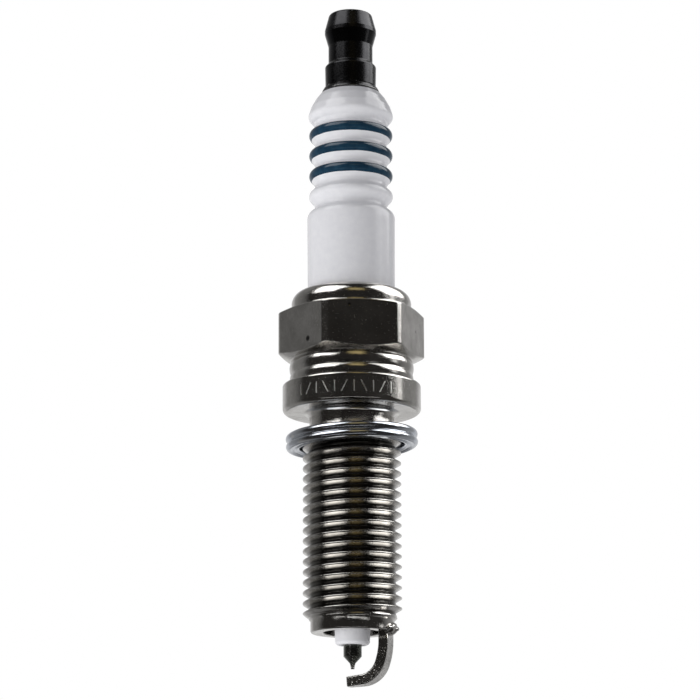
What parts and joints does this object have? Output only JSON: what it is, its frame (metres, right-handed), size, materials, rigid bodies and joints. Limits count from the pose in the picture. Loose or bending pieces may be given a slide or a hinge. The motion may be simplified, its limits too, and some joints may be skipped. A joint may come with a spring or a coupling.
{
  "type": "spark plug",
  "caption": "Long-reach motorcycle spark plug with ribbed insulator, screwed-on terminal nut, hexagon shell, loose folded gasket and a fine-wire tip under a tapered strap.",
  "frame": {"origin": "on the plug's axis in the plane of the shell's sealing face, the flat underside of the flange", "axes": "+Z along the plug's axis towards the terminal, -Z towards the spark gap; angles in the notes run from -Y towards +X"},
  "size_m": [0.0176, 0.017, 0.0834],
  "materials": {
    "shell_nickel": "bright nickel plating, lightly scuffed",
    "glazed_insulator": "glossy white glaze with dark blue bands on the upper halves of three ribs; the nose is unglazed",
    "terminal_black": "black oxide, semi-gloss",
    "glass_seal": "fired glass and metal powder",
    "resistor_element": "fired carbon glass",
    "electrode_nickel": "dark nickel alloy, slightly pitted",
    "copper_core": "drawn copper",
    "iridium": "dark grey, matte",
    "packing_steel": "plain steel wire and washer",
    "talc": "pressed powder",
    "gasket_zinc": "zinc plated, satin"
  },
  "bodies": {
    "plug_body": {"metal_shell": "shell_nickel", "insulator": "glazed_insulator", "terminal_stud": "terminal_black", "upper_glass_seal": "glass_seal", "resistor": "resistor_element", "lower_glass_seal": "glass_seal", "centre_electrode": "electrode_nickel", "centre_electrode_core": "copper_core", "iridium_tip": "iridium", "upper_packing_ring": "packing_steel", "talc_filling": "talc", "lower_packing_ring": "packing_steel", "seat_packing_washer": "packing_steel", "ground_electrode": "electrode_nickel"},
    "terminal": {"terminal_nut": "terminal_black"},
    "gasket": {"sealing_gasket": "gasket_zinc"}
  },
  "joints": [
    {"name": "terminal_nut_lift", "type": "slide", "parent": "plug_body", "child": "terminal", "axis": [0, 0, 1], "range_m": [0, 0.0075]},
    {"name": "gasket_float", "type": "slide", "parent": "plug_body", "child": "gasket", "axis": [0, 0, 1], "range_m": [0, 0.002]}
  ]
}
